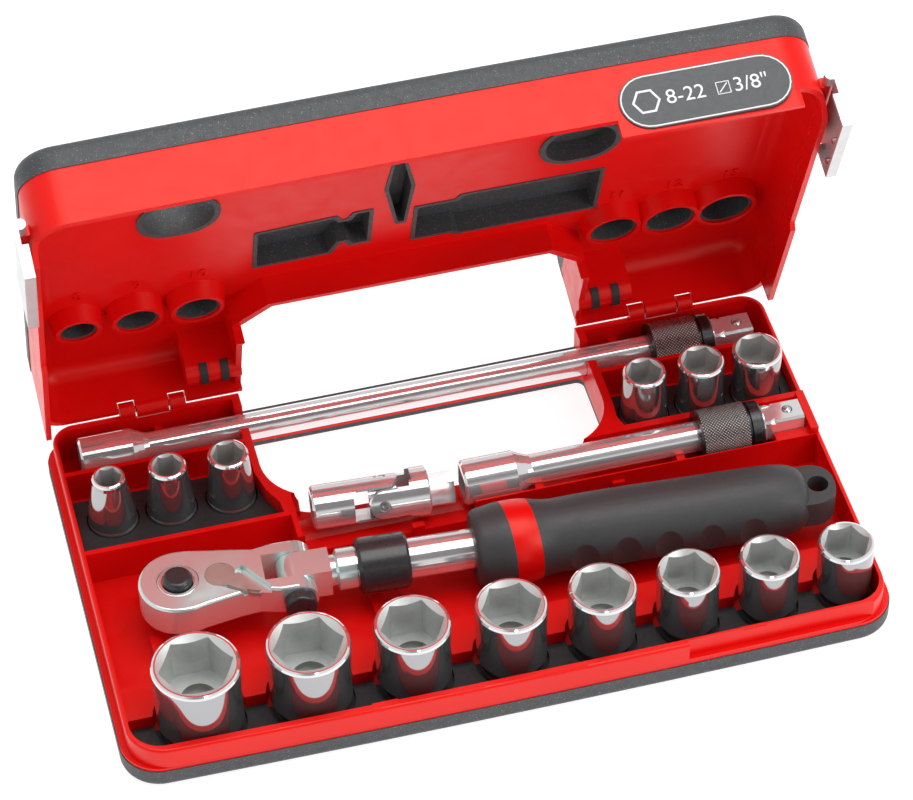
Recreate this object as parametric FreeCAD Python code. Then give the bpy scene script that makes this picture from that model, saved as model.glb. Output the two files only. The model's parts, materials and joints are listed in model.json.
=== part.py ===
import FreeCAD, Part
import math
import os
from FreeCAD import Vector as V

os.makedirs("parts", exist_ok=True)

# Driving dimensions, in mm. Origin: middle of the case's underside. +Z up, front of the case at -Y.
CASE_HALF_W = 135.4
CASE_FRONT_Y = -79.5
CASE_REAR_Y = 79.0
FRONT_SAGITTA = 1.5
CORNER_FRONT = 14.0
CORNER_REAR = 9.0
TRAY_SIDE = 2.6
TRAY_WELL_SIDE = 4.2
LEDGE_TOP_Z = 9.5
RAIL_TOP_Z = 7.2
COVER_TOP_Z = 8.2
RIM_Z = 18.0
FLOOR_Z = 3.2
LID_RED_TOP = 38.2
LID_ROOF_Z = 38.5
LID_ROOF_T = 2.0
LID_TOP_Z = 48.8
WALL = 2.8

HINGE_Y = 78.9
HINGE_Z = 19.2
LID_OPEN_DEG = 70.0
HINGE_X = 95.0

PAD_TOP_Z = 12.0
FRONT_PAD_TOP = 6.0
WINDOW = (-63.5, 62.5, 21.5, 67.5)
WINDOW_CORNER = 20.0
NOTCH = (-62.0, 63.0, 33.0)

DRIVE = 9.5
DRIVE_HOLE = 9.7
BIG_Y = -59.0
ROW_REAR_Y = -56.0
BIG_Z = 3.5
BIG = [(22, -106.2, 30.4, 33.2), (21, -67.9, 28.9, 32.5), (19, -32.1, 26.4, 31.7), (18, 2.2, 24.9, 30.9),
       (17, 34.2, 23.6, 30.1), (16, 64.6, 21.9, 29.4), (15, 93.5, 21.0, 28.6), (14, 121.0, 19.5, 27.8)]
SMALL_Y = 35.0
SMALL_Z = 6.0
SMALL_L = 28.0
SMALL_RING = 18.0
SMALL = [(8, -118.1, 11.8), (9, -97.1, 13.5), (10, -75.5, 14.4), (11, 76.3, 15.6), (12, 97.4, 16.7), (13, 118.3, 17.9)]

LONG_Y, LONG_Z, LONG_X0, LONG_LEN = 65.7, 12.7, -124.3, 250.0
SHORT_Y, SHORT_Z, SHORT_X0, SHORT_LEN = 13.9, 18.0, 3.4, 125.0
UJ_X0, UJ_Y0, UJ_Z, UJ_TILT = -50.5, 16.0, 18.2, -3.3
UJ_ROLL = 25.0
RATCHET_X, RATCHET_Y, RATCHET_Z, RATCHET_TILT = -103.4, -11.5, 18.5, -3.3

LATCH_PIN_X = 137.2
LATCH_PIN_Z = 23.0
LATCH_Y = (-74.0, -37.0)


def box(x0, x1, y0, y1, z0, z1):
    return Part.makeBox(x1 - x0, y1 - y0, z1 - z0, V(x0, y0, z0))


def cyl(r, h, base, axis=V(0, 0, 1)):
    return Part.makeCylinder(r, h, V(*base), axis)


def save(name, shape):
    clean = shape.removeSplitter() if len(shape.Solids) == 1 else shape
    clean.exportStep("parts/" + name + ".step")


def fuse(shapes):
    out = shapes[0]
    for s in shapes[1:]:
        out = out.fuse(s)
    return out.removeSplitter()


def outline(inset, z0, z1, side=None):
    """Case outline as a prism with a slightly bowed front. side is the inset of the two ends."""
    hw = CASE_HALF_W - (inset if side is None else side)
    yf = CASE_FRONT_Y + inset
    yr = CASE_REAR_Y - inset
    front = Part.Arc(V(-hw, yf + FRONT_SAGITTA, z0), V(0, yf, z0), V(hw, yf + FRONT_SAGITTA, z0)).toShape()
    right = Part.makeLine(V(hw, yf + FRONT_SAGITTA, z0), V(hw, yr, z0))
    rear = Part.makeLine(V(hw, yr, z0), V(-hw, yr, z0))
    left = Part.makeLine(V(-hw, yr, z0), V(-hw, yf + FRONT_SAGITTA, z0))
    prism = Part.Face(Part.Wire([front, right, rear, left])).extrude(V(0, 0, z1 - z0))
    for near_front, radius in ((True, CORNER_FRONT), (False, CORNER_REAR)):
        edges = []
        for e in prism.Edges:
            a, b = e.Vertexes[0].Point, e.Vertexes[-1].Point
            if abs(a.x - b.x) < 1e-6 and abs(a.y - b.y) < 1e-6 and abs(abs(a.x) - hw) < 1e-3:
                if (a.y < 0) == near_front:
                    edges.append(e)
        prism = prism.makeFillet(max(radius - inset, 2.0), edges)
    return prism


def edges_at_z(shape, z):
    flat = [e for e in shape.Edges if abs(e.CenterOfMass.z - z) < 1e-4]
    return [e for e in flat if all(abs(v.Point.z - z) < 1e-4 for v in e.Vertexes)]


def rounded_box(x0, x1, y0, y1, z0, z1, r):
    b = box(x0, x1, y0, y1, z0, z1)
    edges = [e for e in b.Edges if abs(e.Vertexes[0].Point.z - e.Vertexes[1].Point.z) > 1e-6]
    return b.makeFillet(r, edges)


def polygon_prism(points, z0, z1, r=0.0):
    wire = Part.makePolygon([V(x, y, z0) for x, y in points] + [V(points[0][0], points[0][1], z0)])
    prism = Part.Face(wire).extrude(V(0, 0, z1 - z0))
    if r > 0:
        edges = [e for e in prism.Edges if abs(e.Vertexes[0].Point.z - e.Vertexes[-1].Point.z) > 1e-6]
        prism = prism.makeFillet(r, edges)
    return prism


def revolve_x(profile, y, z):
    """Closed (x, r) profile turned about an axis along X through (y, z)."""
    pts = [V(x, y, z + r) for x, r in profile]
    face = Part.Face(Part.makePolygon(pts + [pts[0]]))
    return face.revolve(V(0, y, z), V(1, 0, 0), 360)


def revolve_z(profile, x, y):
    pts = [V(x + r, y, z) for z, r in profile]
    face = Part.Face(Part.makePolygon(pts + [pts[0]]))
    return face.revolve(V(x, y, 0), V(0, 0, 1), 360)


def hexagon(flats, x, y, z0, z1):
    r = flats / math.sqrt(3.0)
    pts = [(x + r * math.cos(math.radians(60 * k)), y + r * math.sin(math.radians(60 * k))) for k in range(6)]
    return polygon_prism(pts, z0, z1)


def square_x(size, x0, x1, y, z, chamfer=0.8):
    """Square bar along X with chamfered long edges."""
    b = box(x0, x1, y - size / 2, y + size / 2, z - size / 2, z + size / 2)
    edges = [e for e in b.Edges if abs(e.Vertexes[0].Point.x - e.Vertexes[1].Point.x) > 1e-6]
    return b.makeChamfer(chamfer, edges)


def open_lid(shape):
    s = shape.copy()
    s.rotate(V(0, HINGE_Y, HINGE_Z), V(1, 0, 0), -LID_OPEN_DEG)
    return s


def place(shape, x, y, tilt):
    """Turn a tool built along X at the origin and put it in its bed."""
    s = shape.copy()
    s.rotate(V(0, 0, 0), V(0, 0, 1), tilt)
    s.translate(V(x, y, 0))
    return s


# ---------------------------------------------------------------- case base
LEFT_WELL = [(-140, 17), (-60, 17), (-60.5, 22), (-64, 29), (-66.2, 38), (-66.4, 53.5), (-140, 53.5)]
RIGHT_WELL = [(140, 26), (66.5, 26), (65.0, 31), (65.6, 38), (65.6, 53.5), (140, 53.5)]


def window_prism(grow, z0, z1):
    x0, x1, y0, y1 = WINDOW
    prism = box(x0 - grow, x1 + grow, y0 - grow, y1 + grow, z0, z1)
    upright = [e for e in prism.Edges if abs(e.Vertexes[0].Point.z - e.Vertexes[1].Point.z) > 1e-6]
    front = [e for e in upright if e.CenterOfMass.y < (y0 + y1) / 2]
    rear = [e for e in upright if e.CenterOfMass.y > (y0 + y1) / 2]
    prism = prism.makeFillet(WINDOW_CORNER, front)
    rear = [e for e in prism.Edges if abs(e.Vertexes[0].Point.z - e.Vertexes[-1].Point.z) > 1e-6
            and abs(e.CenterOfMass.y - y1 - grow) < 1e-4]
    return prism.makeFillet(3.0, rear)


def rail_relief():
    """The room behind and over the low rail that the long bar bridges."""
    return box(WINDOW[0], WINDOW[1], 58.0, 90.0, RAIL_TOP_Z, 30)


def base_cover():
    shell = outline(0.0, 0.0, COVER_TOP_Z)
    shell = shell.makeFillet(3.2, edges_at_z(shell, 0.0))
    shell = shell.cut(outline(2.1, 2.1, COVER_TOP_Z + 1))
    return shell.cut(window_prism(0.05, -1, COVER_TOP_Z + 1)).cut(rail_relief())


def base_tray():
    lower = outline(2.1, 2.1, COVER_TOP_Z)
    ledge = outline(0.35, COVER_TOP_Z, LEDGE_TOP_Z)
    upper = outline(0.35, LEDGE_TOP_Z, RIM_Z, TRAY_SIDE)
    upper = upper.makeFillet(1.0, edges_at_z(upper, RIM_Z))
    body = fuse([lower, ledge, upper])
    tray = body.copy()
    inner = outline(WALL + 0.4, FLOOR_Z, RIM_Z + 1, TRAY_WELL_SIDE)
    front = inner.common(fuse([box(-140, 140, -90, 4.0, FLOOR_Z, 30), box(-140, -58.0, 3.9, 15.0, FLOOR_Z, 30)]))
    left = inner.common(polygon_prism(LEFT_WELL, 5.0, 30))
    right = inner.common(polygon_prism(RIGHT_WELL, 5.0, 30))
    bar = inner.common(fuse([box(-140, WINDOW[0] - 3.0, 55.4, 75.6, FLOOR_Z, 30),
                             box(WINDOW[1] + 3.0, 140, 55.4, 75.6, FLOOR_Z, 30)]))
    middle = fuse([box(-55.5, 140, 5.4, 22.0, 9.0, 30), box(-55.5, 6.0, 2.0, 21.6, 9.0, 30)])
    middle = middle.common(outline(WALL + 0.4, 8.0, 40, TRAY_WELL_SIDE))
    for cavity in (front, left, right, bar, middle):
        tray = tray.cut(cavity)
    tray = tray.cut(box(-53.5, WINDOW[1] - 14, 19.5, 26.0, 9.0, 30))
    tray = tray.cut(window_prism(0.0, 0, 30)).cut(rail_relief())
    groove = cyl(5.5, 140, (-70, LONG_Y, LONG_Z), V(1, 0, 0))
    tray = tray.cut(groove).cut(box(-70, 70, LONG_Y - 5.5, LONG_Y + 5.5, LONG_Z, 30))
    tray = tray.cut(revolve_x([(-56, 0), (-56, 10.4), (3, 10.4), (3, 0)], 14.5, UJ_Z))
    bed = revolve_x([(2, 0), (2, 9.2), (140, 9.6), (140, 0)], SHORT_Y, SHORT_Z)
    tray = tray.cut(bed.common(outline(WALL + 0.4, 3, 40, TRAY_WELL_SIDE)))
    # rests that carry the tools: bar saddles, extension saddles, ratchet cradle
    extra = []
    for x in (-94.0, 76.0):
        rib = box(x - 1.5, x + 1.5, 59.0, 76.0, 2.6, 11.5)
        extra.append(rib.cut(cyl(5.25, 10, (x - 5, LONG_Y, LONG_Z), V(1, 0, 0))))
    for x in (30.0, 82.0):
        rib = box(x - 1.5, x + 1.5, 4.6, 22.6, 7.5, 16.0)
        extra.append(rib.cut(cyl(5.7, 10, (x - 5, SHORT_Y, SHORT_Z), V(1, 0, 0))))
    end = fuse([box(117.0, 131.6, 4.6, 23.6, 7.5, 17.0), box(129.4, 132.3, 4.6, 23.6, 7.5, 20.6)])
    end = end.cut(square_x(DRIVE + 0.5, 110, 129.2, SHORT_Y, SHORT_Z))
    extra.append(end.cut(box(110, 129.2, SHORT_Y - 5, SHORT_Y + 5, SHORT_Z, 30)))
    for x, top_z in ((-15.0, 12.5), (58.0, 14.5)):
        extra.append(box(x - 2.2, x + 2.2, 2.6, 5.0, 8.0, top_z))
    # scalloped wall that reaches forward between the sockets of the front row
    wall = box(-131.5, 131.5, ROW_REAR_Y, -41.8, 2.6, 11.0)
    for _, x, dia, _ in BIG:
        wall = wall.cut(cyl(dia / 2 + 1.0, 20, (x, BIG_Y, 2)))
    extra.append(wall)
    for x in (-36.0, -114.0):
        cradle = box(x - 2.0, x + 2.0, -40.0, 3.5, 2.6, 9.0)
        seat_z = FLOOR_Z + (5.2 if x < -100 else 3.0)
        cradle = cradle.cut(box(x - 3, x + 3, -32.0, 1.0, seat_z, 20))
        extra.append(cradle.cut(box(x - 3, x + 3, -18.5, -4.5, FLOOR_Z, 20)))
    for piece in extra:
        tray = tray.fuse(piece)
    tray = tray.common(fuse([body, outline(WALL, RIM_Z - 2, 40, TRAY_SIDE + 0.5)]))
    # recess in the front rim for the label tongue of the lid
    tray = tray.cut(box(59.5, 126.5, -82, CASE_FRONT_Y + 3.4, 10.6, 30).cut(outline(2.4, 0, 40)))
    # hinge knuckles on the rear rim
    for side in (-1, 1):
        x0 = side * HINGE_X
        relief = cyl(3.6, 12.6, (x0 - 6.3, HINGE_Y, HINGE_Z), V(1, 0, 0))
        tray = tray.cut(relief)
        for a in (x0 - 12.0, x0 + 6.4):
            knuckle = cyl(3.0, 5.6, (a, HINGE_Y, HINGE_Z), V(1, 0, 0))
            root = box(a, a + 5.6, 76.2, HINGE_Y, 15.0, HINGE_Z)
            tray = tray.fuse(knuckle).fuse(root)
        tray = tray.cut(cyl(1.25, 26, (x0 - 13, HINGE_Y, HINGE_Z), V(1, 0, 0)))
    return tray.removeSplitter()


def pads():
    side = TRAY_WELL_SIDE + 0.2
    front = outline(WALL + 0.6, FLOOR_Z, FRONT_PAD_TOP, side).common(box(-140, 140, -90, ROW_REAR_Y - 0.2, 0, 30))
    for _, x, dia, _ in BIG:
        front = front.cut(cyl(dia / 2 + 0.4, 10, (x, BIG_Y, BIG_Z)))
    inner = outline(WALL + 0.6, 5.0, PAD_TOP_Z, side).common(box(-140, 140, 0, 46, 0, 30))
    left = inner.common(polygon_prism([(x - 0.2, y + 0.2) for x, y in LEFT_WELL], 5.0, 30))
    right = inner.common(polygon_prism([(x + 0.2, y + 0.2) for x, y in RIGHT_WELL], 5.0, 30))
    for _, x, _ in SMALL:
        hole = cyl(SMALL_RING / 2 + 0.35, 10, (x, SMALL_Y, SMALL_Z))
        left = left.cut(hole)
        right = right.cut(hole)
    return front, left, right


def hinge_pins():
    return [cyl(1.2, 24.4, (side * HINGE_X - 12.2, HINGE_Y, HINGE_Z), V(1, 0, 0)) for side in (-1, 1)]


# ---------------------------------------------------------------- lid, drawn closed
def notch_prism(grow, z0, z1):
    x0, x1, y0 = NOTCH
    pts = [(x0 - grow, 90), (x0 - grow, y0 + 12 - grow), (x0 + 12 - grow * 0.6, y0 - grow),
           (x1 - 12 + grow * 0.6, y0 - grow), (x1 + grow, y0 + 12 - grow), (x1 + grow, 90)]
    return polygon_prism(pts, z0, z1)


def ring_boss(x, rim_dia):
    hole = rim_dia / 2 + 0.85
    cone = Part.makeCone(hole + 1.5, hole + 3.2, LID_ROOF_Z + 0.5 - 32.4, V(x, SMALL_Y, 32.4))
    return cone, hole


OVALS = [(-81.5, -27.5), (59.4, -27.0)]
OVAL_HALF = (14.6, 13.0)


def oval_prism(cx, cy, inset, z0, z1):
    hx, hy = OVAL_HALF[0] - inset, OVAL_HALF[1] - inset
    return rounded_box(cx - hx, cx + hx, cy - hy, cy + hy, z0, z1, hy - 0.8)


def pocket_prism(which, inset, z0, z1):
    i = inset
    if which == "joint":
        pts = [(-53.5 + i, -3.0 + i), (-27.0 - i, -4.5 + i), (-25.0 - i, -1.0 + i), (-20.5 + i, -1.0 + i),
               (-18.5 + i, -5.0 + i), (-14.0 - i, -5.0 + i), (-14.0 - i, 17.0 - i), (-19.0 + i, 17.0 - i),
               (-21.0 + i, 13.5 - i), (-25.0 - i, 13.5 - i), (-28.0 - i, 20.5 - i), (-53.5 + i, 21.0 - i)]
    elif which == "bar":
        pts = [(3.5 + i, -0.5 + i), (18.0 + i, -0.5 + i), (20.0 + i, -3.5 + i), (69.0 - i, -3.5 + i),
               (69.0 - i, 24.0 - i), (19.5 + i, 24.0 - i), (18.0 + i, 22.0 - i), (3.5 + i, 22.0 - i)]
    else:
        pts = [(-6.4 + i * 0.5, -40.0 + i), (-4.0 - i * 0.5, -40.0 + i), (0.0 - i, -19.0), (-1.2 - i * 0.6, 7.0 - i),
               (-3.4 + i * 0.6, 7.0 - i), (-8.0 + i, -19.0)]
    return polygon_prism(pts, z0, z1, 0.8)


POCKETS = [("joint", 46.0), ("bar", 46.0), ("fin", 45.4)]


def lid_skirts():
    """The side walls of the lid reach down outside the tray, lower at the rear."""
    ring = outline(0.35, LEDGE_TOP_Z + 0.4, RIM_Z + 0.6).cut(outline(0.35, 5, 30, TRAY_SIDE - 0.3))
    points = [(-70, RIM_Z + 0.6), (-62, 12.0), (13, 12.0), (15, LEDGE_TOP_Z + 0.5),
              (71, LEDGE_TOP_Z + 0.5), (72, RIM_Z + 0.6)]
    corners = [V(-150, y, z) for y, z in points]
    zone = Part.Face(Part.makePolygon(corners + [corners[0]])).extrude(V(300, 0, 0))
    return ring.common(zone)


def lid_liner():
    shell = outline(0.35, RIM_Z, LID_RED_TOP).fuse(outline(2.3, LID_RED_TOP, LID_ROOF_Z + LID_ROOF_T))
    cavity = outline(WALL, 10, LID_ROOF_Z)
    cavity = cavity.makeFillet(6.0, edges_at_z(cavity, LID_ROOF_Z))
    lid = shell.cut(cavity).fuse(lid_skirts())
    lip = notch_prism(2.2, 20.5, LID_ROOF_Z + 0.5).cut(box(-140, 140, 30.8, 44.0, 10, 27.5))
    lid = lid.fuse(lip.common(outline(2.3, 10, LID_ROOF_Z + 1)))
    for _, x, dia in SMALL:
        lid = lid.fuse(ring_boss(x, dia)[0])
    for x0 in (-82.0, 60.0 + 3.0):
        pillar = box(x0, x0 + 20, 61.5, 71.5, 24.0, LID_ROOF_Z + 0.5)
        roll = cyl(5.0, 20, (x0, 66.5, 24.0), V(1, 0, 0))
        roll = roll.fuse(Part.makeSphere(5.0, V(x0 + (20 if x0 < 0 else 0), 66.5, 24.0)))
        lid = lid.fuse(pillar).fuse(roll)
    # reinforcing ribs at the front corners, and the label tongue that hangs from the front wall
    for rib in ([(-132.5, -52.0), (-132.5, -50.0), (-123.2, -59.0), (-124.6, -60.4)],
                [(132.5, -52.0), (132.5, -50.0), (113.0, -67.5), (114.5, -69.0)]):
        lid = lid.fuse(polygon_prism(rib, 32.0, LID_ROOF_Z + 0.5))
    tongue = box(61.5, 124.5, -82, CASE_FRONT_Y + 3.2, 11.4, 30.0)
    lid = lid.fuse(tongue.common(outline(0.35, 5, 40)).cut(outline(2.1, 5, RIM_Z + 0.5)))
    # latch lugs on the side walls
    for side in (-1, 1):
        y0, y1 = LATCH_Y[0] + 5.3, LATCH_Y[1] - 5.3
        lug = cyl(1.9, y1 - y0, (side * LATCH_PIN_X, y0, LATCH_PIN_Z), V(0, 1, 0))
        x_in, x_out = sorted((side * (CASE_HALF_W - 1.5), side * LATCH_PIN_X))
        lid = lid.fuse(lug).fuse(box(x_in, x_out, y0, y1, LATCH_PIN_Z - 1.9, LATCH_PIN_Z + 1.9))
        lid = lid.cut(cyl(1.25, 50, (side * LATCH_PIN_X, LATCH_Y[0] - 5, LATCH_PIN_Z), V(0, 1, 0)))
    lid = lid.cut(notch_prism(0.0, 5, 60))
    for _, x, dia in SMALL:
        lid = lid.cut(cyl(ring_boss(x, dia)[1], 20, (x, SMALL_Y, 30)))
    for cx, cy in OVALS:
        lid = lid.cut(oval_prism(cx, cy, 0.0, 30, 60))
    for which, _ in POCKETS:
        lid = lid.cut(pocket_prism(which, -1.5, LID_ROOF_Z - 1, 60))
    # hinge: room for the base knuckles, then the lid knuckles
    for side in (-1, 1):
        x0 = side * HINGE_X
        for a in (x0 - 12.3, x0 + 6.1):
            lid = lid.cut(cyl(3.6, 6.2, (a, HINGE_Y, HINGE_Z), V(1, 0, 0)))
            lid = lid.cut(box(a, a + 6.2, 75.0, HINGE_Y + 1, 16, HINGE_Z))
        knuckle = cyl(3.0, 11.6, (x0 - 5.8, HINGE_Y, HINGE_Z), V(1, 0, 0))
        web = box(x0 - 5.8, x0 + 5.8, 76.3, 79.0, HINGE_Z, 24.0)
        lid = lid.fuse(knuckle).fuse(web)
        lid = lid.cut(cyl(1.25, 26, (x0 - 13, HINGE_Y, HINGE_Z), V(1, 0, 0)))
    # recess for the label plate
    lid = lid.cut(label_prism(0.1, CASE_FRONT_Y - 1, CASE_FRONT_Y + 1.7))
    return lid.removeSplitter()


def label_prism(grow, y0, y1):
    x0, x1, z0, z1 = 63.4 - grow, 122.6 + grow, 12.6 - grow, 32.6 + grow
    b = box(x0, x1, y0, y1, z0, z1)
    edges = [e for e in b.Edges if abs(e.Vertexes[0].Point.y - e.Vertexes[1].Point.y) > 1e-6]
    return b.makeFillet((z1 - z0) / 2 - 0.01, edges)


def lid_cover():
    shell = outline(0.0, LID_RED_TOP, LID_TOP_Z)
    shell = shell.makeFillet(5.5, edges_at_z(shell, LID_TOP_Z))
    hollow = outline(2.25, LID_RED_TOP - 1, LID_TOP_Z - 2.0)
    hollow = hollow.cut(notch_prism(2.0, LID_ROOF_Z + LID_ROOF_T + 0.05, 60))
    cover = shell.cut(hollow)
    z0 = LID_ROOF_Z
    rim0 = LID_ROOF_Z + LID_ROOF_T
    for _, x, dia in SMALL:
        r = ring_boss(x, dia)[1]
        cup = cyl(r - 0.02, LID_TOP_Z - 1 - 33.4, (x, SMALL_Y, 33.4)).cut(cyl(r - 1.0, 10.6, (x, SMALL_Y, 33.0)))
        cover = cover.fuse(cup)
    for cx, cy in OVALS:
        cover = cover.fuse(oval_prism(cx, cy, 0.02, z0 - 0.6, LID_TOP_Z - 1))
    for which, depth_z in POCKETS:
        outer = pocket_prism(which, -1.48, z0 - 0.3, LID_TOP_Z - 0.5)
        cover = cover.fuse(outer)
        cover = cover.cut(pocket_prism(which, 0.0, z0 - 2, depth_z))
    cover = cover.cut(oval_prism(OVALS[0][0], OVALS[0][1], 2.2, 30, 60))
    cover = cover.cut(oval_prism(OVALS[1][0], OVALS[1][1], 2.2, 30, 45.6))
    cover = cover.cut(notch_prism(0.0, 30, 60))
    return cover.removeSplitter()


def saddle_bands():
    bands = []
    for x0 in (-82.0, 63.0):
        for dx in (5.0, 12.6):
            ring = cyl(5.6, 2.8, (x0 + dx, 66.5, 24.0), V(1, 0, 0))
            ring = ring.cut(cyl(5.02, 4, (x0 + dx - 0.5, 66.5, 24.0), V(1, 0, 0)))
            bands.append(ring.common(box(-140, 140, 50, 80, 10, 24.0)))
    return bands


def side_box(side, x_near, x_far, y0, y1, z0, z1):
    """A box on the left (-1) or right (+1) side wall; x is measured outward."""
    x0, x1 = sorted((side * x_near, side * x_far))
    return box(x0, x1, y0, y1, z0, z1)


LATCH_INNER_X = 135.8
LATCH_PLATE_X = (138.0, 139.5)


def latch(side):
    y0, y1 = LATCH_Y
    inner, (near, far) = LATCH_INNER_X, LATCH_PLATE_X
    plate = side_box(side, near, far, y0, y1, 3.2, LATCH_PIN_Z + 1.0)
    plate = plate.cut(side_box(side, near - 1, far + 1, y0 + 5.0, y1 - 5.0, LATCH_PIN_Z - 2.3, LATCH_PIN_Z + 3))
    ends = [side_box(side, inner, near + 0.1, a, a + 1.4, 3.2, 15.5) for a in (y0, y1 - 1.4)]
    ears = [side_box(side, LATCH_PIN_X, far, a, a + 5.0, LATCH_PIN_Z - 2.0, LATCH_PIN_Z + 2.0) for a in (y0, y1 - 5.0)]
    barrels = [cyl(2.0, 5.0, (side * LATCH_PIN_X, a, LATCH_PIN_Z), V(0, 1, 0)) for a in (y0, y1 - 5.0)]
    lip = side_box(side, inner, near + 0.1, y0, y1, 3.2, 4.6)
    out = fuse([plate, lip] + ends + ears + barrels)
    return out.cut(cyl(1.25, 60, (side * LATCH_PIN_X, -90, LATCH_PIN_Z), V(0, 1, 0)))


def latch_rods(side):
    length = LATCH_PLATE_X[0] - 0.02 - LATCH_INNER_X
    x0 = min(side * LATCH_INNER_X, side * (LATCH_INNER_X + length))
    return [cyl(1.2, length, (x0, y, 6.6), V(1, 0, 0)) for y in (-57.0, -43.0)]


def latch_axles():
    y0, y1 = LATCH_Y[0] - 0.1, LATCH_Y[1] + 0.1
    return [cyl(1.2, y1 - y0, (s * LATCH_PIN_X, y0, LATCH_PIN_Z), V(0, 1, 0)) for s in (-1, 1)]


# ---------------------------------------------------------------- sockets
def drive_hole(x, y, z0, z1):
    half = DRIVE_HOLE / 2
    return box(x - half, x + half, y - half, y + half, z0, z1)


def big_socket(size, x, dia, length):
    r, z0 = dia / 2, BIG_Z
    top = z0 + length
    profile = [(z0, 0), (z0, r - 2.2), (z0 + 0.8, r - 1.4), (z0 + 6.0, r - 1.3), (z0 + 7.0, r - 0.3),
               (top - 1.2, r), (top - 0.4, r - 0.35), (top, r - 1.0), (top, 0)]
    body = revolve_z(profile, x, BIG_Y)
    body = body.cut(hexagon(size + 0.25, x, BIG_Y, top - length * 0.52, top + 1))
    cone = Part.makeCone(size * 0.5 + 0.1, size * 0.62, 1.6, V(x, BIG_Y, top - 1.55))
    body = body.cut(cone)
    body = body.cut(cyl(min(size * 0.40, 6.2), length, (x, BIG_Y, z0 + 11.0)))
    return body.cut(drive_hole(x, BIG_Y, z0 - 1, z0 + 12.0))


def small_socket(size, x, rim):
    r, z0 = rim / 2, SMALL_Z
    top = z0 + SMALL_L
    ring = SMALL_RING / 2
    profile = [(z0, 0), (z0, ring - 1.6), (z0 + 0.8, ring - 0.9), (z0 + 4.4, ring - 0.9), (z0 + 4.8, ring - 0.3),
               (z0 + 5.6, ring), (z0 + 6.6, ring - 0.25), (z0 + 7.2, ring - 0.5), (top - 16.5, ring - 0.5),
               (top - 2.6, r + 0.05), (top - 1.0, r), (top - 0.3, r - 0.3), (top, r - 0.8), (top, 0)]
    body = revolve_z(profile, x, SMALL_Y)
    body = body.cut(hexagon(size + 0.2, x, SMALL_Y, top - 12.5, top + 1))
    body = body.cut(Part.makeCone(size * 0.5 + 0.05, size * 0.6, 1.2, V(x, SMALL_Y, top - 1.15)))
    body = body.cut(cyl(size * 0.40, SMALL_L, (x, SMALL_Y, z0 + 10.0)))
    return body.cut(drive_hole(x, SMALL_Y, z0 - 1, z0 + 11.0))


# ---------------------------------------------------------------- extension bars
def extension(x0, length, y, z, socket_r, shaft_r, socket_len):
    x1 = x0 + length
    neck_x = x0 + socket_len
    body = revolve_x([(x0, 0), (x0, socket_r - 0.8), (x0 + 0.8, socket_r), (neck_x, socket_r),
                      (neck_x + 1.6, socket_r - 0.9), (neck_x + 4.2, shaft_r + 0.6), (neck_x + 6.0, shaft_r),
                      (x1 - 36.2, shaft_r), (x1 - 36.2, 6.6), (x1 - 14.6, 6.6), (x1 - 14.6, 0)], y, z)
    tip = square_x(DRIVE, x1 - 15.0, x1 - 0.01, y, z)
    neck = revolve_x([(x1 - 12.6, 8), (x1 - 12.6, 6.2), (x1 - 10.6, 5.6), (x1 - 10.6, 8)], y, z)
    body = body.fuse(tip).cut(neck)
    half = DRIVE_HOLE / 2
    hole = box(x0 - 1, x0 + 11.5, y - half, y + half, z - half, z + half)
    body = body.cut(hole).cut(cyl(3.6, 3.0, (x0 + 11, y, z), V(1, 0, 0)))
    body = body.cut(cyl(1.95, 4.6, (x1 - 5.2, y, z + DRIVE / 2 - 4.2)))
    sleeve = revolve_x([(x1 - 38.6, 9.25), (x1 - 38.6, shaft_r + 0.08), (x1 - 36.4, shaft_r + 0.08), (x1 - 36.4, 6.68),
                        (x1 - 15.4, 6.68), (x1 - 15.4, 8.2), (x1 - 16.0, 8.7), (x1 - 19.6, 8.8), (x1 - 20.0, 8.2),
                        (x1 - 20.8, 8.2), (x1 - 21.0, 9.25), (x1 - 37.8, 9.25)], y, z)
    ball = Part.makeSphere(1.9, V(x1 - 5.2, y, z + DRIVE / 2 - 1.1))
    return body, sleeve, ball


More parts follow.
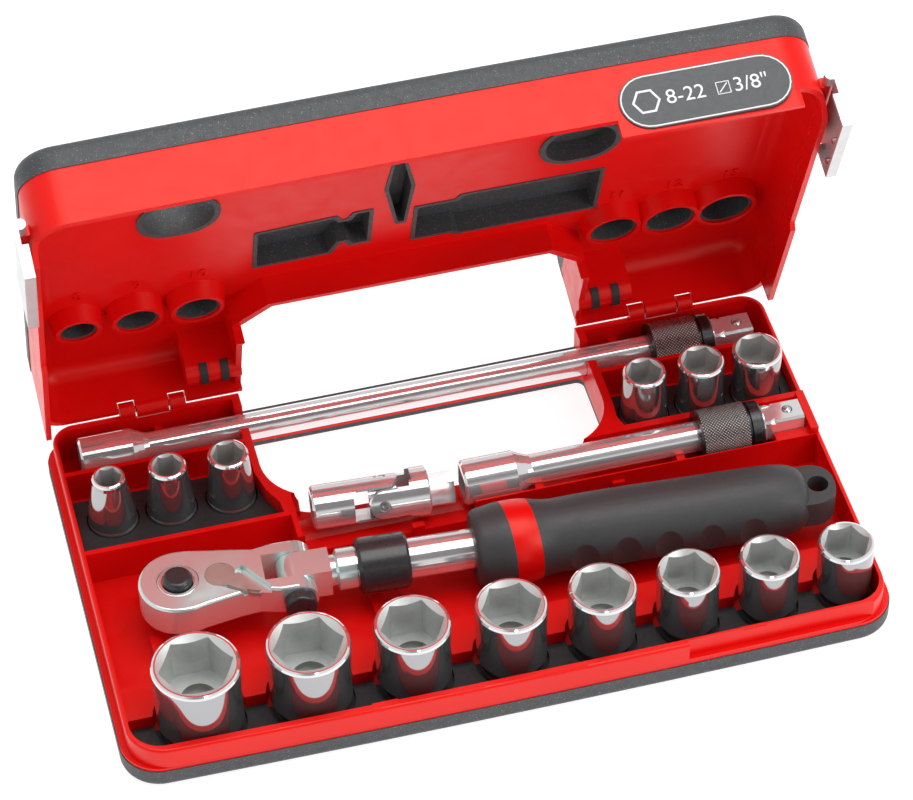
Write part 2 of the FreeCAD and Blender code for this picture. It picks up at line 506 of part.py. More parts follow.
# ---------------------------------------------------------------- universal joint, built along X from the origin
def universal_joint():
    z = UJ_Z
    c = 25.0
    female = revolve_x([(0, 0), (0, 7.3), (0.7, 8.0), (31.5, 8.0), (31.5, 0)], 0, z)
    slot = box(14.5, 40, -12, 12, z - 5.3, z + 5.3)
    female = female.cut(slot)
    for y0, y1 in ((-12, -5.1), (5.1, 12)):
        female = female.cut(box(15.5, 40, y0, y1, z - 12, z + 12))
    female = female.cut(box(c, 40, -12, 12, 0, 40).cut(cyl(6.1, 40, (c, 0, 0))))
    half = DRIVE_HOLE / 2
    female = female.cut(box(-1, 11.0, -half, half, z - half, z + half))
    female = female.cut(cyl(2.03, 30, (c, 0, z - 15)))
    male = revolve_x([(18.0, 0), (18.0, 9.0), (41.0, 9.0), (41.6, 8.3), (41.6, 0)], 0, z)
    male = male.cut(box(10, 35.5, -5.4, 5.4, z - 12, z + 12))
    for z0, z1 in ((0, z - 5.1), (z + 5.1, 40)):
        male = male.cut(box(10, c + 9.5, -12, 12, z0, z1))
    male = male.cut(box(10, c, -12, 12, 0, 40).cut(cyl(5.1, 30, (c, -15, z), V(0, 1, 0))))
    male = male.cut(cyl(11.5, 10.8, (c, -5.4, z), V(0, 1, 0)))
    male = male.fuse(square_x(DRIVE, 41.0, 50.5, 0, z))
    male = male.cut(cyl(2.03, 30, (c, -15, z), V(0, 1, 0)))
    cross = box(c - 5.1, c + 5.1, -5.1, 5.1, z - 5.1, z + 5.1)
    edges = [e for e in cross.Edges if abs(e.Vertexes[0].Point.x - e.Vertexes[1].Point.x) > 1e-6]
    cross = cross.makeChamfer(1.2, edges)
    cross = cross.cut(cyl(2.0, 30, (c, -15, z), V(0, 1, 0))).cut(cyl(2.0, 30, (c, 0, z - 15)))
    pin_y = cyl(2.0, 16.8, (c, -8.4, z), V(0, 1, 0))
    pin_z = cyl(2.0, 7.6 - 2.0, (c, 0, z + 2.0)).fuse(cyl(2.0, 5.6, (c, 0, z - 7.6)))
    pin_y = pin_y.cut(cyl(0.9, 1.2, (c, -8.6, z), V(0, 1, 0)))
    parts = [female, cross, male, pin_y, Part.makeCompound(pin_z.Solids)]
    for shape in parts:
        shape.rotate(V(0, 0, z), V(1, 0, 0), -UJ_ROLL)
    return parts


# ---------------------------------------------------------------- flex-head ratchet, built along X from the drive axis
HEAD_TOP = 25.6
HEAD_BOTTOM = 12.8
LEVER_X = 14.6
GRIP_PROFILE = [(103.0, 11.6), (104.0, 13.0), (107.0, 13.9), (112.0, 14.7), (116.0, 14.95), (121.0, 14.8),
                (124.5, 14.2), (127.5, 13.5), (137.0, 13.2), (175.0, 13.3), (205.0, 13.1), (215.0, 12.2),
                (219.5, 10.4), (221.5, 7.6)]


def grip_barrel(inset):
    """The soft barrel of the handle, turned about the handle's axis."""
    points = [V(x, 0, RATCHET_Z + r - inset) for x, r in GRIP_PROFILE]
    curve = Part.BSplineCurve()
    curve.interpolate(points)
    start, end = V(GRIP_PROFILE[0][0], 0, RATCHET_Z), V(GRIP_PROFILE[-1][0], 0, RATCHET_Z)
    wire = Part.Wire([Part.makeLine(start, points[0]), curve.toShape(), Part.makeLine(points[-1], end),
                      Part.makeLine(end, start)])
    return Part.Face(wire).revolve(V(0, 0, RATCHET_Z), V(1, 0, 0), 360)


def ratchet_parts():
    z = RATCHET_Z
    out = {}
    fx = 40.5
    rim = [(-13.7 * math.cos(math.radians(a)), -13.7 * math.sin(math.radians(a))) for a in range(-84, 85, 12)]
    neck = [(8.0, -12.4), (20.0, -10.0), (27.0, -9.2), (34.0, -11.0), (47.0, -11.0), (47.0, 11.0), (34.0, 11.0),
            (27.0, 9.6), (20.0, 11.0), (8.0, 13.0)]
    curve = Part.BSplineCurve()
    curve.interpolate([V(x, y, HEAD_BOTTOM) for x, y in neck[9:] + rim + neck[:1]])
    sides = Part.makePolygon([V(x, y, HEAD_BOTTOM) for x, y in neck])
    head = Part.Face(Part.Wire([curve.toShape()] + sides.Edges)).extrude(V(0, 0, HEAD_TOP - HEAD_BOTTOM))
    head = head.makeFillet(1.2, edges_at_z(head, HEAD_TOP) + edges_at_z(head, HEAD_BOTTOM))
    head = head.common(fuse([box(-20, fx, -20, 20, 0, 40), cyl(6.5, 40, (fx, -20, z), V(0, 1, 0))]))
    fork_gap = box(29.5, 60, -5.7, 5.7, 0, 40)
    head = head.cut(fork_gap)
    head = head.cut(cyl(7.3, 2.0, (0, 0, HEAD_TOP - 1.9)))
    head = head.cut(cyl(5.3, 12, (0, 0, 16.0)))
    head = head.cut(cyl(8.45, 4.0, (0, 0, HEAD_BOTTOM - 1)))
    head = head.cut(cyl(5.3, 2.2, (LEVER_X, 0, HEAD_TOP - 2.0)))
    arm_room = [(13.2, -4.8), (24.0, -11.5), (27.6, -13.5), (31.0, -13.0), (31.0, -8.0), (22.6, 3.0)]
    head = head.cut(polygon_prism(arm_room, HEAD_TOP - 2.0, HEAD_TOP + 1))
    out["ratchet_head"] = head.cut(cyl(2.05, 40, (fx, -20, z), V(0, 1, 0)))
    ring = cyl(7.2, 1.8, (0, 0, HEAD_TOP - 1.88)).cut(cyl(5.75, 5, (0, 0, HEAD_TOP - 3)))
    top_edges = edges_at_z(ring, HEAD_TOP - 0.08)
    out["ratchet_button_ring"] = ring.makeFillet(0.6, [max(top_edges, key=lambda e: e.BoundBox.XLength)])
    button = cyl(5.2, 8.0, (0, 0, HEAD_TOP - 5.4))
    button = button.makeFillet(1.8, edges_at_z(button, HEAD_TOP + 2.6))
    out["ratchet_button"] = button
    lever = cyl(5.2, 1.8, (LEVER_X, 0, HEAD_TOP - 1.9))
    arm = [(14.5, -3.5), (24.3, -10.6), (27.6, -11.4), (27.8, -9.6), (21.0, 0.0)]
    tab = [(22.6, -9.4), (27.0, -10.9), (27.4, -9.9), (23.4, -6.4)]
    out["ratchet_lever"] = fuse([lever, polygon_prism(arm, HEAD_TOP - 1.9, HEAD_TOP - 0.1, 0.6),
                                 polygon_prism(tab, HEAD_TOP - 1.0, HEAD_TOP + 1.0, 0.4)])
    square = box(-DRIVE / 2, DRIVE / 2, -DRIVE / 2, DRIVE / 2, 4.0, HEAD_BOTTOM + 0.2)
    edges = [e for e in square.Edges if abs(e.Vertexes[0].Point.z - e.Vertexes[1].Point.z) > 1e-6]
    square = square.makeChamfer(0.8, edges)
    anvil = fuse([square, cyl(8.38, 2.8, (0, 0, HEAD_BOTTOM + 0.1))])
    out["ratchet_drive"] = anvil.cut(cyl(1.95, 4.6, (DRIVE / 2 - 4.2, 0, 7.0), V(1, 0, 0)))
    out["ratchet_ball"] = Part.makeSphere(1.9, V(DRIVE / 2 - 1.1, 0, 7.0))
    tongue = box(fx, 52.6, -5.6, 5.6, z - 6.2, z + 6.2).fuse(cyl(6.2, 11.2, (fx, -5.6, z), V(0, 1, 0)))
    tongue = tongue.fuse(revolve_x([(51.0, 0), (51.0, 5.6), (54.4, 5.6), (55.2, 7.4), (62.0, 7.4), (62.0, 0)], 0, z))
    tube = revolve_x([(61.5, 0), (61.5, 7.1), (160.0, 7.1), (160.0, 0)], 0, z)
    tongue = tongue.cut(cyl(2.05, 40, (fx, -20, z), V(0, 1, 0))).cut(box(61.5, 64, -9, 9, z - 9, z + 9))
    out["ratchet_tongue"] = tongue.removeSplitter()
    out["ratchet_tube"] = tube
    collar = [(62.0, 7.12), (80.0, 7.12), (80.0, 8.8), (79.0, 9.8), (63.2, 9.8), (62.0, 8.6)]
    out["ratchet_collar"] = revolve_x(collar, 0, z)
    pin = cyl(1.95, 22.4, (fx, -11.4, z), V(0, 1, 0))
    knob = cyl(5.6, 4.2, (fx, -15.4, z), V(0, 1, 0))
    knob = knob.makeFillet(1.0, [min(knob.Edges, key=lambda e: e.CenterOfMass.y)])
    out["ratchet_flex_pin"] = pin
    out["ratchet_flex_knob"] = knob.cut(cyl(1.95, 10, (fx, -11.4, z), V(0, 1, 0)))
    grip = grip_barrel(0.0)
    band_slab = box(-4.7, 4.7, -30, 30, -30, 30)
    band_slab.rotate(V(0, 0, 0), V(0, 0, 1), 6)
    band_slab.translate(V(119.4, 0, z))
    band = grip.common(band_slab).cut(grip_barrel(0.8))
    loop = rounded_box(208.0, 232.0, -9.2, 9.2, z - 5.5, z + 5.5, 8.0)
    grip = grip.fuse(loop)
    for k in range(5):
        x = 140.0 + 15.0 * k
        grip = grip.cut(cyl(9.0, 40, (x, -20.8, z - 20)))
    grip = grip.cut(cyl(3.7, 40, (226.0, 0, z - 20)))
    grip = grip.cut(revolve_x([(100, 0), (100, 7.18), (161.0, 7.18), (161.0, 0)], 0, z))
    out["ratchet_grip"] = grip.cut(band)
    out["ratchet_band"] = band
    return out


# ---------------------------------------------------------------- write every node
save("base_cover", fuse([base_cover()]))
save("base_tray", base_tray())
front_pad, left_pad, right_pad = pads()
save("pad_front", front_pad)
save("pad_left", left_pad)
save("pad_right", right_pad)
save("hinge_pins", Part.makeCompound(hinge_pins()))

save("lid_liner", open_lid(lid_liner()))
save("lid_cover", open_lid(lid_cover()))
save("lid_bands", open_lid(Part.makeCompound(saddle_bands())))
label = label_prism(0.0, CASE_FRONT_Y + 0.1, CASE_FRONT_Y + 1.65)
save("label_plate", open_lid(label))
save("latch_axles", open_lid(Part.makeCompound(latch_axles())))
for tag, side in (("left", -1), ("right", 1)):
    save("latch_" + tag, open_lid(latch(side)))
    save("latch_rods_" + tag, open_lid(Part.makeCompound(latch_rods(side))))

for size, x, dia, length in BIG:
    save("socket_%02d" % size, big_socket(size, x, dia, length))
for size, x, rim in SMALL:
    save("socket_%02d" % size, small_socket(size, x, rim))

long_bar, long_sleeve, long_ball = extension(LONG_X0, LONG_LEN, LONG_Y, LONG_Z, 7.8, 5.0, 19.0)
save("extension_long", long_bar)
save("extension_long_sleeve", long_sleeve)
save("extension_long_ball", long_ball)
short_bar, short_sleeve, short_ball = extension(SHORT_X0, SHORT_LEN, SHORT_Y, SHORT_Z, 8.2, 5.5, 19.0)
save("extension_short", short_bar)
save("extension_short_sleeve", short_sleeve)
save("extension_short_ball", short_ball)

female, cross, male, pin_y, pins_z = universal_joint()
for name, shape in (("joint_female", female), ("joint_cross", cross), ("joint_male", male), ("joint_pin", pin_y)):
    save(name, place(shape, UJ_X0, UJ_Y0, UJ_TILT))
save("joint_stub_pins", place(pins_z, UJ_X0, UJ_Y0, UJ_TILT))

for name, shape in ratchet_parts().items():
    save(name, place(shape, RATCHET_X, RATCHET_Y, RATCHET_TILT))
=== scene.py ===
import json
import math

import bpy
import bmesh
from mathutils import Matrix, Vector


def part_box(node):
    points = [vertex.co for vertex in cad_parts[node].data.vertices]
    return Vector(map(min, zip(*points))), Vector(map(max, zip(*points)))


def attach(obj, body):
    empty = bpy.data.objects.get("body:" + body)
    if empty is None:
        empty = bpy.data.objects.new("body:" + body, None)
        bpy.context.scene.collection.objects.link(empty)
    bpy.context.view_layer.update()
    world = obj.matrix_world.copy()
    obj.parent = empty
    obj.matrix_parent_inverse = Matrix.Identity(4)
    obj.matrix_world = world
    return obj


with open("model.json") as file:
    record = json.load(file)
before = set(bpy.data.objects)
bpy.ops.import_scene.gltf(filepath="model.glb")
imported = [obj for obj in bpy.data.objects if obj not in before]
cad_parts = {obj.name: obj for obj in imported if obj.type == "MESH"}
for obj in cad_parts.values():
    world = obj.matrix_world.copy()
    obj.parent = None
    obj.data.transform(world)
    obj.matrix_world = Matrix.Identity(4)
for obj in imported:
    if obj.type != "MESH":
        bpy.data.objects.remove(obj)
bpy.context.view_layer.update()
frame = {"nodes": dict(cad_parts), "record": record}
nodes = frame["nodes"]
MM = 0.001

# The side the object is seen from, in degrees.
CAMERA_YAW, CAMERA_PITCH, CAMERA_ROLL = -13.27, 46.05, -1.45
CAMERA_DISTANCE, CAMERA_SHIFT_RIGHT, CAMERA_SHIFT_UP = 1376.5, -2.05, 51.4


# ------------------------------------------------------------ camera
def camera_axes(yaw, pitch, roll):
    """Right, up and backward axes of a camera that looks down at the object."""
    back = Vector((math.sin(yaw) * math.cos(pitch), -math.cos(yaw) * math.cos(pitch), math.sin(pitch)))
    right = Vector((math.cos(yaw), math.sin(yaw), 0.0))
    up = back.cross(right)
    turned = right * math.cos(roll) + up * math.sin(roll)
    return turned, up * math.cos(roll) - right * math.sin(roll), back


def make_camera():
    yaw, pitch, roll = (math.radians(a) for a in (CAMERA_YAW, CAMERA_PITCH, CAMERA_ROLL))
    right, up, back = camera_axes(yaw, pitch, roll)
    aim = Vector((0.0, 1.0, 0.0))
    place = (back * CAMERA_DISTANCE + right * CAMERA_SHIFT_RIGHT + up * CAMERA_SHIFT_UP + aim) * MM
    cam = bpy.data.objects.new("camera", bpy.data.cameras.new("camera"))
    bpy.context.scene.collection.objects.link(cam)
    cam.data.lens = 153.5
    cam.data.sensor_width = 36.0
    cam.data.clip_end = 20.0
    axes = Matrix((right, up, back)).transposed().to_4x4()
    cam.matrix_world = Matrix.Translation(place) @ axes
    bpy.context.scene.camera = cam
    return cam


make_camera()


# ------------------------------------------------------------ materials
class Shade:
    """A small helper that builds one procedural material."""

    def __init__(self, name, color, metallic=0.0, rough=0.4, coat=0.0, spec=0.5):
        self.mat = bpy.data.materials.new(name)
        self.mat.use_nodes = True
        self.tree = self.mat.node_tree
        self.bsdf = self.tree.nodes["Principled BSDF"]
        self.bsdf.inputs["Base Color"].default_value = (*color, 1.0)
        self.bsdf.inputs["Metallic"].default_value = metallic
        self.bsdf.inputs["Roughness"].default_value = rough
        self.bsdf.inputs["Coat Weight"].default_value = coat
        self.bsdf.inputs["Coat Roughness"].default_value = 0.1
        self.bsdf.inputs["IOR"].default_value = 1.5
        self.bsdf.inputs["Specular IOR Level"].default_value = spec
        source = self.node("ShaderNodeTexCoord")
        self.coord, self.normal = source.outputs["Object"], source.outputs["Normal"]

    def node(self, kind, **values):
        n = self.tree.nodes.new(kind)
        for key, value in values.items():
            setattr(n, key, value)
        return n

    def link(self, a, b):
        self.tree.links.new(a, b)

    def noise(self, scale, detail=4.0):
        n = self.node("ShaderNodeTexNoise")
        n.inputs["Scale"].default_value = scale
        n.inputs["Detail"].default_value = detail
        n.inputs["Roughness"].default_value = 0.5
        self.link(self.coord, n.inputs["Vector"])
        return n.outputs["Fac"]

    def ramp(self, fac, low, high, a=0.3, b=0.7):
        r = self.node("ShaderNodeMapRange")
        r.inputs["From Min"].default_value = a
        r.inputs["From Max"].default_value = b
        r.inputs["To Min"].default_value = low
        r.inputs["To Max"].default_value = high
        self.link(fac, r.inputs["Value"])
        return r.outputs["Result"]

    def mix(self, fac, a, b):
        """Mix where either side may be a socket or a plain colour."""
        m = self.node("ShaderNodeMix", data_type="RGBA")
        self.link(fac, m.inputs["Factor"])
        for key, value in (("A", a), ("B", b)):
            if isinstance(value, tuple):
                m.inputs[key].default_value = (*value, 1.0)
            else:
                self.link(value, m.inputs[key])
        return m.outputs["Result"]

    def math(self, operation, *values):
        m = self.node("ShaderNodeMath", operation=operation)
        for slot, value in zip(m.inputs, values):
            if isinstance(value, (int, float)):
                slot.default_value = value
            else:
                self.link(value, slot)
        return m.outputs["Value"]

    def parts(self, vector):
        split = self.node("ShaderNodeSeparateXYZ")
        self.link(vector, split.inputs["Vector"])
        return split.outputs

    def color(self, socket):
        self.link(socket, self.bsdf.inputs["Base Color"])
        return self

    def rough(self, socket):
        self.link(socket, self.bsdf.inputs["Roughness"])
        return self

    def bump(self, height, strength, distance):
        b = self.node("ShaderNodeBump")
        b.inputs["Strength"].default_value = strength
        b.inputs["Distance"].default_value = distance
        self.link(height, b.inputs["Height"])
        self.link(b.outputs["Normal"], self.bsdf.inputs["Normal"])
        return self


def red_plastic():
    s = Shade("red_plastic", (0.8, 0.003, 0.003), rough=0.34, spec=0.42)
    s.bsdf.inputs["Specular Tint"].default_value = (1.0, 0.74, 0.6, 1.0)
    s.color(s.mix(s.noise(35.0, 3.0), (0.84, 0.003, 0.003), (0.74, 0.002, 0.002)))
    s.rough(s.ramp(s.noise(160.0, 3.0), 0.29, 0.4))
    s.bump(s.noise(1100.0, 1.0), 0.05, 0.0001)
    return s.mat


def dark_cover():
    """Grained dark plastic with a few lighter specks."""
    s = Shade("dark_cover", (0.05, 0.052, 0.055), rough=0.5)
    base = s.mix(s.noise(700.0, 3.0), (0.062, 0.064, 0.067), (0.04, 0.042, 0.045))
    specks = s.ramp(s.noise(2600.0, 1.0), 0.0, 1.0, 0.68, 0.74)
    s.color(s.mix(specks, base, (0.3, 0.31, 0.32)))
    s.rough(s.ramp(s.noise(500.0, 3.0), 0.42, 0.6))
    s.bump(s.noise(1800.0, 4.0), 0.5, 0.0003)
    return s.mat


def chrome(name, tint, rough, metallic):
    s = Shade(name, tint, metallic=metallic, rough=rough)
    s.color(s.mix(s.noise(60.0, 2.0), tint, tuple(c * 0.95 for c in tint)))
    s.rough(s.ramp(s.noise(220.0, 4.0), rough * 0.7, rough * 1.5))
    s.bump(s.noise(140.0, 1.0), 0.03, 0.0002)
    return s.mat


def socket_chrome(node):
    """Polished outside, painted lighter on faces that point up and darker on its sides as highlight and
    shade; matt grey inside the hexagon and the drive hole.
    """
    low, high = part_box(node)
    s = Shade("chrome_" + node, (0.84, 0.85, 0.86), rough=0.08)
    place, normal = s.parts(s.coord), s.parts(s.normal)
    dx = s.math("SUBTRACT", place[0], (low[0] + high[0]) / 2)
    dy = s.math("SUBTRACT", place[1], (low[1] + high[1]) / 2)
    outward = s.math("ADD", s.math("MULTIPLY", dx, normal[0]), s.math("MULTIPLY", dy, normal[1]))
    bore = s.math("LESS_THAN", outward, -0.0005)
    sunk = s.math("LESS_THAN", place[2], high[2] - 0.003)
    step = s.math("MULTIPLY", sunk, s.math("GREATER_THAN", normal[2], 0.6))
    inside = s.math("MAXIMUM", bore, step)
    grain = s.mix(s.noise(500.0, 3.0), (0.72, 0.75, 0.73), (0.58, 0.6, 0.59))
    # Painted light: the outside colour goes from dark on the sides (painted shade) to bright on faces that
    # point up (painted highlight).
    outside_painted_light = s.mix(s.ramp(normal[2], 0.0, 1.0, 0.15, 0.6), (0.4, 0.41, 0.42), (0.93, 0.94, 0.95))
    s.color(s.mix(inside, outside_painted_light, grain))
    s.rough(s.ramp(inside, 0.07, 0.42, 0.0, 1.0))
    s.link(s.ramp(inside, 0.9, 0.6, 0.0, 1.0), s.bsdf.inputs["Metallic"])
    s.bump(s.noise(140.0, 1.0), 0.03, 0.0002)
    return s.mat


def knurled(node, start, end):
    """Dark steel sleeve, turned about X, with a diamond knurl between two distances from its left end. The
    knurl's ridge tops are painted light and its grooves painted dark, as highlight and shade.
    """
    low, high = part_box(node)
    radius = (high[2] - low[2]) / 2
    s = Shade("knurled_" + node, (0.2, 0.2, 0.21), metallic=0.9, rough=0.3)
    place = s.parts(s.coord)
    dy = s.math("SUBTRACT", place[1], (low[1] + high[1]) / 2)
    dz = s.math("SUBTRACT", place[2], (low[2] + high[2]) / 2)
    turn = s.math("ARCTAN2", dz, dy)
    along = s.math("DIVIDE", place[0], radius)
    ridges = []
    for way in ("ADD", "SUBTRACT"):
        wave = s.math("SINE", s.math("MULTIPLY", s.math(way, turn, along), 24.0))
        ridges.append(s.math("ABSOLUTE", wave))
    height = s.math("MINIMUM", *ridges)
    zone = s.math("GREATER_THAN", place[0], low[0] + start)
    zone = s.math("MULTIPLY", zone, s.math("LESS_THAN", place[0], low[0] + end))
    relief = s.math("MULTIPLY", height, zone)
    # Painted highlight and shade: the colour follows the knurl's height, light on the ridge tops and dark
    # in the grooves.
    s.color(s.mix(s.ramp(relief, 0.0, 1.0, 0.3, 0.75), (0.07, 0.07, 0.072), (0.62, 0.62, 0.6)))
    s.rough(s.ramp(s.noise(500.0, 3.0), 0.24, 0.36))
    s.bump(relief, 0.8, 0.0004)
    return s.mat


KNURL_START, KNURL_END = 0.0008, 0.0176  # measured from the sleeve's left end


def plain(name, color, rough, grain, bump=0.25, metallic=0.0, coat=0.0, spec=0.5):
    s = Shade(name, color, metallic=metallic, rough=rough, coat=coat, spec=spec)
    s.color(s.mix(s.noise(grain * 0.4, 3.0), color, tuple(c * 0.8 for c in color)))
    s.rough(s.ramp(s.noise(grain, 3.0), rough * 0.85, min(1.0, rough * 1.2)))
    s.bump(s.noise(grain * 1.5, 3.0), bump, 0.0002)
    return s.mat


MATERIALS = {
    "dark_cover": dark_cover(),
    "red_plastic": red_plastic(),
    "pad": plain("pad", (0.022, 0.023, 0.025), 0.6, 900.0),
    "steel_pin": plain("steel_pin", (0.7, 0.7, 0.72), 0.25, 400.0, 0.1, 0.9),
    "chrome": chrome("chrome", (0.9, 0.91, 0.92), 0.1, 0.74),
    "black_plastic": plain("black_plastic", (0.034, 0.034, 0.036), 0.3, 700.0, 0.15, 0.0, 0.2),
    "grip_rubber": plain("grip_rubber", (0.056, 0.057, 0.059), 0.46, 900.0, 0.3, spec=0.4),
    "label_grey": plain("label_grey", (0.06, 0.066, 0.068), 0.4, 800.0, 0.15),
    "latch_metal": plain("latch_metal", (0.72, 0.73, 0.74), 0.35, 500.0, 0.1, 0.7),
    "lever_steel": plain("lever_steel", (0.58, 0.56, 0.5), 0.35, 400.0, 0.15, 0.7),
    "band_rubber": plain("band_rubber", (0.025, 0.025, 0.027), 0.6, 900.0, 0.3),
}
# Ratchet head and tongue: a satin chrome whose cyan tint is painted against the red light that the case
# reflects onto it.
SATIN_AND_PAINTED_CYAN = chrome("satin_chrome_painted_cyan", (0.78, 0.9, 0.88), 0.15, 0.66)
PRINT = plain("label_print", (0.82, 0.83, 0.84), 0.5, 800.0, 0.1)
SPECIAL = {"ratchet_head": SATIN_AND_PAINTED_CYAN, "ratchet_tongue": SATIN_AND_PAINTED_CYAN}
slot_of = {p["node"]: p["material_slot"] for p in frame["record"]["subparts"]}
for name, obj in nodes.items():
    if name.startswith("socket_"):
        finish = socket_chrome(name)
    elif slot_of[name] == "knurled":
        finish = knurled(name, KNURL_START, KNURL_END)
    else:
        finish = SPECIAL.get(name) or MATERIALS[slot_of[name]]
    obj.data.materials.clear()
    obj.data.materials.append(finish)


# ------------------------------------------------------------ printing and raised marks
lid_joint = next(j for j in frame["record"]["behaviour"]["joints"] if j["name"] == "lid_hinge")
HINGE = Vector(lid_joint["pos_m"])
LID_TURN = Matrix.Translation(HINGE) @ Matrix.Rotation(math.radians(-lid_joint["range_deg"][1]), 4, "X")
LID_TURN = LID_TURN @ Matrix.Translation(-HINGE)


# Half the thickness of printed marks, and how far the label's face lies in front of the plate's middle.
INK = 0.00008
PLATE_FRONT = 0.00082


def add_piece(name, mesh, body, finish):
    """Put a mesh in the scene, on a body, as an extra piece of the visual model."""
    obj = bpy.data.objects.new(name, mesh)
    bpy.context.scene.collection.objects.link(obj)
    mesh.materials.clear()
    mesh.materials.append(finish)
    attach(obj, body)
    return obj


def text_mesh(name, text, height, thickness, place):
    """Plain lettering as a thin solid. place takes its flat layout into the model."""
    curve = bpy.data.curves.new(name, "FONT")
    curve.body = text
    curve.size = height
    curve.extrude = thickness
    curve.align_x = "CENTER"
    curve.align_y = "CENTER"
    holder = bpy.data.objects.new(name, curve)
    bpy.context.scene.collection.objects.link(holder)
    bpy.context.view_layer.update()
    mesh = bpy.data.meshes.new_from_object(holder.evaluated_get(bpy.context.evaluated_depsgraph_get()))
    bpy.data.objects.remove(holder)
    mesh.transform(place)
    return mesh


def facing(origin, right, up):
    """Matrix of a flat layout at a point of the closed lid, carried to the lid as it stands."""
    across = Vector(right)
    upward = Vector(up)
    axes = Matrix((across, upward, across.cross(upward))).transposed().to_4x4()
    return LID_TURN @ Matrix.Translation(Vector(origin)) @ axes


def strip_mesh(name, points, width, thickness, place, closed=True):
    """A raised line of constant width through flat points."""
    bm = bmesh.new()
    count = len(points)
    flat = [Vector((x, y, 0.0)) for x, y in points]
    pairs = []
    for i, p in enumerate(flat):
        before = flat[i - 1] if closed or i > 0 else p
        after = flat[(i + 1) % count] if closed or i < count - 1 else p
        along = (after - before).normalized()
        side = Vector((-along.y, along.x, 0.0)) * (width / 2)
        pairs.append((p - side, p + side))
    levels = [Vector((0, 0, z)) for z in (-thickness, thickness)]
    rows = [[bm.verts.new(q + level) for q in pair for level in levels] for pair in pairs]
    last = count if closed else count - 1
    for i in range(last):
        a, b = rows[i], rows[(i + 1) % count]
        for m, n in ((0, 1), (1, 3), (3, 2), (2, 0)):
            bm.faces.new((a[m], a[n], b[n], b[m]))
    bmesh.ops.recalc_face_normals(bm, faces=bm.faces)
    mesh = bpy.data.meshes.new(name)
    bm.to_mesh(mesh)
    bm.free()
    mesh.transform(place)
    return mesh


def socket_numerals():
    """Raised socket sizes on the lid lining, above the ring that takes each small socket."""
    lining = 0.0385
    for size in (8, 9, 10, 11, 12, 13):
        low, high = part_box("socket_%02d" % size)
        x, y = (low[0] + high[0]) / 2, (low[1] + high[1]) / 2
        place = facing((x + 0.001, y - 0.0165, lining), (1, 0, 0), (0, -1, 0))
        mesh = text_mesh("size_%02d" % size, str(size), 0.007, 0.0006, place)
        add_piece("size_%02d" % size, mesh, "lid", MATERIALS["red_plastic"])


def label_face():
    """Middle and half size of the pill-shaped plate on the front wall, in the closed lid's frame."""
    low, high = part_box("label_plate")
    centre = LID_TURN.inverted() @ Vector([(a + b) / 2 for a, b in zip(low, high)])
    return centre, (high[0] - low[0]) / 2


def label_marks():
    """A border, a hexagon with the range of sizes, and the drive size, printed on the label plate."""
    centre, half = label_face()
    face = Vector((centre.x, centre.y - PLATE_FRONT, centre.z))
    place = facing(face, (1, 0, 0), (0, 0, 1))
    straight, radius = half - 0.01, 0.0094
    border = []
    for side in (1, -1):
        for k in range(13):
            a = math.radians(-90 + 15 * k) if side > 0 else math.radians(90 + 15 * k)
            border.append((side * straight + radius * math.cos(a), radius * math.sin(a)))
    square = [(0.006 + 0.0022 * x, 0.0022 * y) for x, y in ((-1, -1), (1, -1), (1, 1), (-1, 1))]
    slash = [(0.0044, -0.0016), (0.0076, 0.0016)]
    corners = [math.radians(60 * k) for k in range(6)]
    hexagon = [(-0.0205 + 0.0045 * math.cos(a), 0.0045 * math.sin(a)) for a in corners]
    lines = (
        ("label_border", border, 0.0005, True),
        ("label_square", square, 0.0004, True),
        ("label_slash", slash, 0.0004, False),
        ("label_hexagon", hexagon, 0.0009, True),
    )
    for name, points, width, closed in lines:
        mesh = strip_mesh(name, points, width, INK, place, closed)
        add_piece(name, mesh, "lid", PRINT)
    for name, text, x in (("label_drive", '3/8"', 0.0155), ("label_range", "8-22", -0.007)):
        shift = place @ Matrix.Translation((x, 0, 0))
        add_piece(name, text_mesh(name, text, 0.0075, INK, shift), "lid", PRINT)


def rim_tabs():
    """Two low catches on the inner edge of the case's front rim. They stay under the closed lid."""
    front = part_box("pad_front")[0][1]
    for k, x in enumerate((-0.046, 0.083)):
        bm = bmesh.new()
        bmesh.ops.create_cube(bm, size=1.0)
        bmesh.ops.scale(bm, vec=(0.0095, 0.0016, 0.0036), verts=bm.verts)
        bmesh.ops.translate(bm, vec=(x, front + 0.0002, 0.016), verts=bm.verts)
        bmesh.ops.bevel(bm, geom=bm.edges[:], offset=0.0004, segments=3, affect="EDGES")
        mesh = bpy.data.meshes.new("rim_tab_%d" % k)
        bm.to_mesh(mesh)
        bm.free()
        add_piece("rim_tab_%d" % k, mesh, "case", MATERIALS["red_plastic"])


socket_numerals()
label_marks()
rim_tabs()


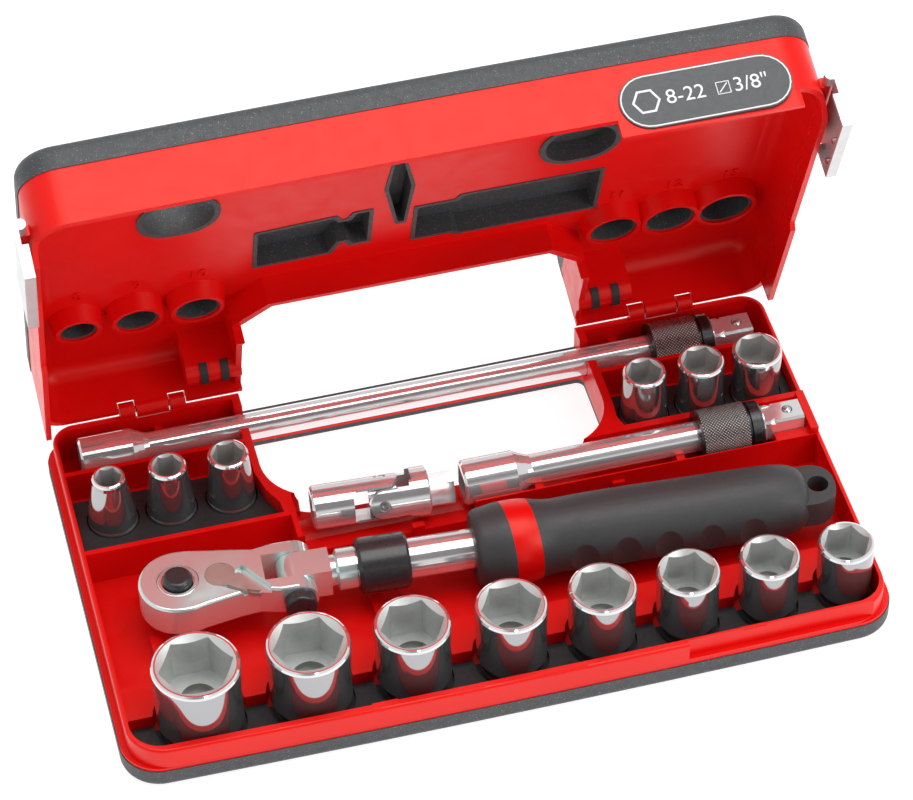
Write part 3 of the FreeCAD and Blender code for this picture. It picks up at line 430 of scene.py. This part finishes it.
# ------------------------------------------------------------ floor and light
def make_floor():
    """White paper that glows a little, so that the picture's ground stays white."""
    bm = bmesh.new()
    bmesh.ops.create_grid(bm, x_segments=8, y_segments=8, size=3.0)
    mesh = bpy.data.meshes.new("floor")
    bm.to_mesh(mesh)
    bm.free()
    floor = bpy.data.objects.new("floor", mesh)
    bpy.context.scene.collection.objects.link(floor)
    s = Shade("floor_paper", (0.4, 0.4, 0.4), rough=0.8)
    s.color(s.mix(s.noise(3.0, 2.0), (0.41, 0.41, 0.41), (0.39, 0.39, 0.39)))
    s.bsdf.inputs["Emission Color"].default_value = (1.0, 1.0, 1.0, 1.0)
    s.bsdf.inputs["Emission Strength"].default_value = 0.85
    floor.data.materials.append(s.mat)


def area_light(name, place, target, size, power):
    light = bpy.data.lights.new(name, "AREA")
    light.shape = "RECTANGLE"
    light.size, light.size_y = size
    light.energy = power
    obj = bpy.data.objects.new(name, light)
    bpy.context.scene.collection.objects.link(obj)
    obj.location = place
    obj.rotation_euler = (Vector(target) - Vector(place)).to_track_quat("-Z", "Y").to_euler()


def make_world():
    """A white studio with one dim end, low in front, that chrome picks up as dark bands."""
    world = bpy.data.worlds.new("studio")
    bpy.context.scene.world = world
    world.use_nodes = True
    tree = world.node_tree
    coord = tree.nodes.new("ShaderNodeTexCoord")
    dot = tree.nodes.new("ShaderNodeVectorMath")
    dot.operation = "DOT_PRODUCT"
    dot.inputs[1].default_value = camera_axes(math.radians(CAMERA_YAW), math.radians(CAMERA_PITCH), 0.0)[2]
    ramp = tree.nodes.new("ShaderNodeMapRange")
    for key, value in (("From Min", 0.88), ("From Max", 0.95), ("To Min", 0.7), ("To Max", 0.05)):
        ramp.inputs[key].default_value = value
    tree.links.new(coord.outputs["Generated"], dot.inputs[0])
    tree.links.new(dot.outputs["Value"], ramp.inputs["Value"])
    background = tree.nodes["Background"]
    background.inputs["Color"].default_value = (1.0, 1.0, 1.0, 1.0)
    tree.links.new(ramp.outputs["Result"], background.inputs["Strength"])


make_floor()
make_world()
area_light("key", (0.15, 0.1, 1.4), (0, 0, 0), (1.3, 1.1), 13.0)
area_light("fill", (0.9, -0.9, 0.8), (0, 0, 0.03), (0.6, 0.8), 5.0)
bpy.context.scene.view_settings.view_transform = "Standard"
